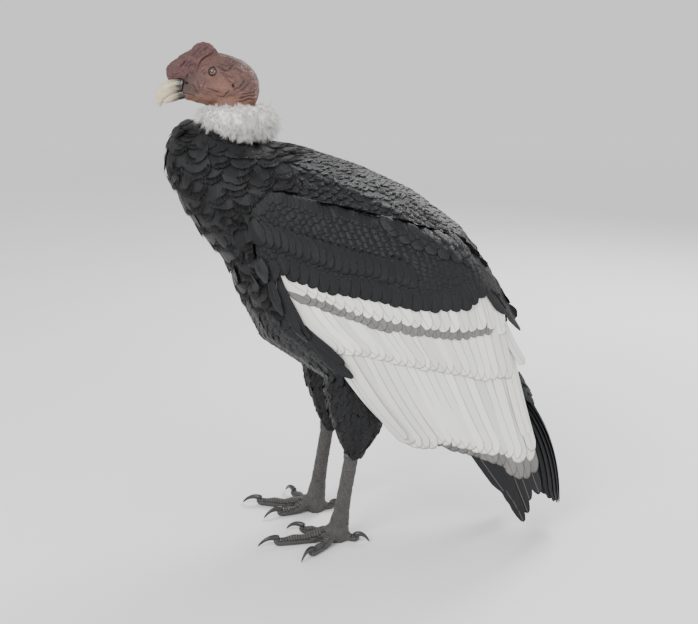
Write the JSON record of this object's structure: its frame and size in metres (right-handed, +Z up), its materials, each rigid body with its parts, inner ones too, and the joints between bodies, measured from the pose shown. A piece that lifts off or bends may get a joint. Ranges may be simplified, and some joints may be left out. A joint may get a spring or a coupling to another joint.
{
  "type": "andean condor",
  "caption": "Adult male condor standing with folded wings: bare head with fleshy comb, hooked bill, down ruff, long flight feathers; a still life-size figure.",
  "frame": {"origin": "on the floor, in the middle of the bird's length and width", "axes": "+Z up; the bird faces -X; its left side is -Y"},
  "size_m": [0.7582, 0.3602, 0.9225],
  "materials": {
    "plumage_black": "black feathers with a faint blue gloss",
    "plumage_white": "white and silvery grey feathers with dark shafts and edges",
    "down_white": "soft white down",
    "head_skin": "bare wrinkled skin, dull red-brown to grey",
    "comb_skin": "thick fleshy skin, dark red-grey",
    "bill_horn": "worn horn, dark at the base and ivory at the tip",
    "iris": "wet brown eye with a black pupil",
    "leg_skin": "dark grey scaly skin",
    "claw_horn": "blunt blackish horn"
  },
  "bodies": {
    "root": {"bill_lower": "bill_horn", "bill_upper": "bill_horn", "claw_hind_left": "claw_horn", "claw_hind_right": "claw_horn", "claw_inner_left": "claw_horn", "claw_inner_right": "claw_horn", "claw_middle_left": "claw_horn", "claw_middle_right": "claw_horn", "claw_outer_left": "claw_horn", "claw_outer_right": "claw_horn", "comb": "comb_skin", "coverts_greater_left": "plumage_white", "coverts_greater_right": "plumage_white", "coverts_lesser_left": "plumage_black", "coverts_lesser_right": "plumage_black", "eye_left": "iris", "eye_right": "iris", "head": "head_skin", "neck": "head_skin", "primaries_left": "plumage_black", "primaries_right": "plumage_black", "ruff": "down_white", "secondaries_left": "plumage_white", "secondaries_right": "plumage_white", "tail": "plumage_black", "tarsus_left": "leg_skin", "tarsus_right": "leg_skin", "thigh_left": "plumage_black", "thigh_right": "plumage_black", "toe_hind_left": "leg_skin", "toe_hind_right": "leg_skin", "toe_inner_left": "leg_skin", "toe_inner_right": "leg_skin", "toe_middle_left": "leg_skin", "toe_middle_right": "leg_skin", "toe_outer_left": "leg_skin", "toe_outer_right": "leg_skin", "trunk": "plumage_black"}
  },
  "joints": []
}
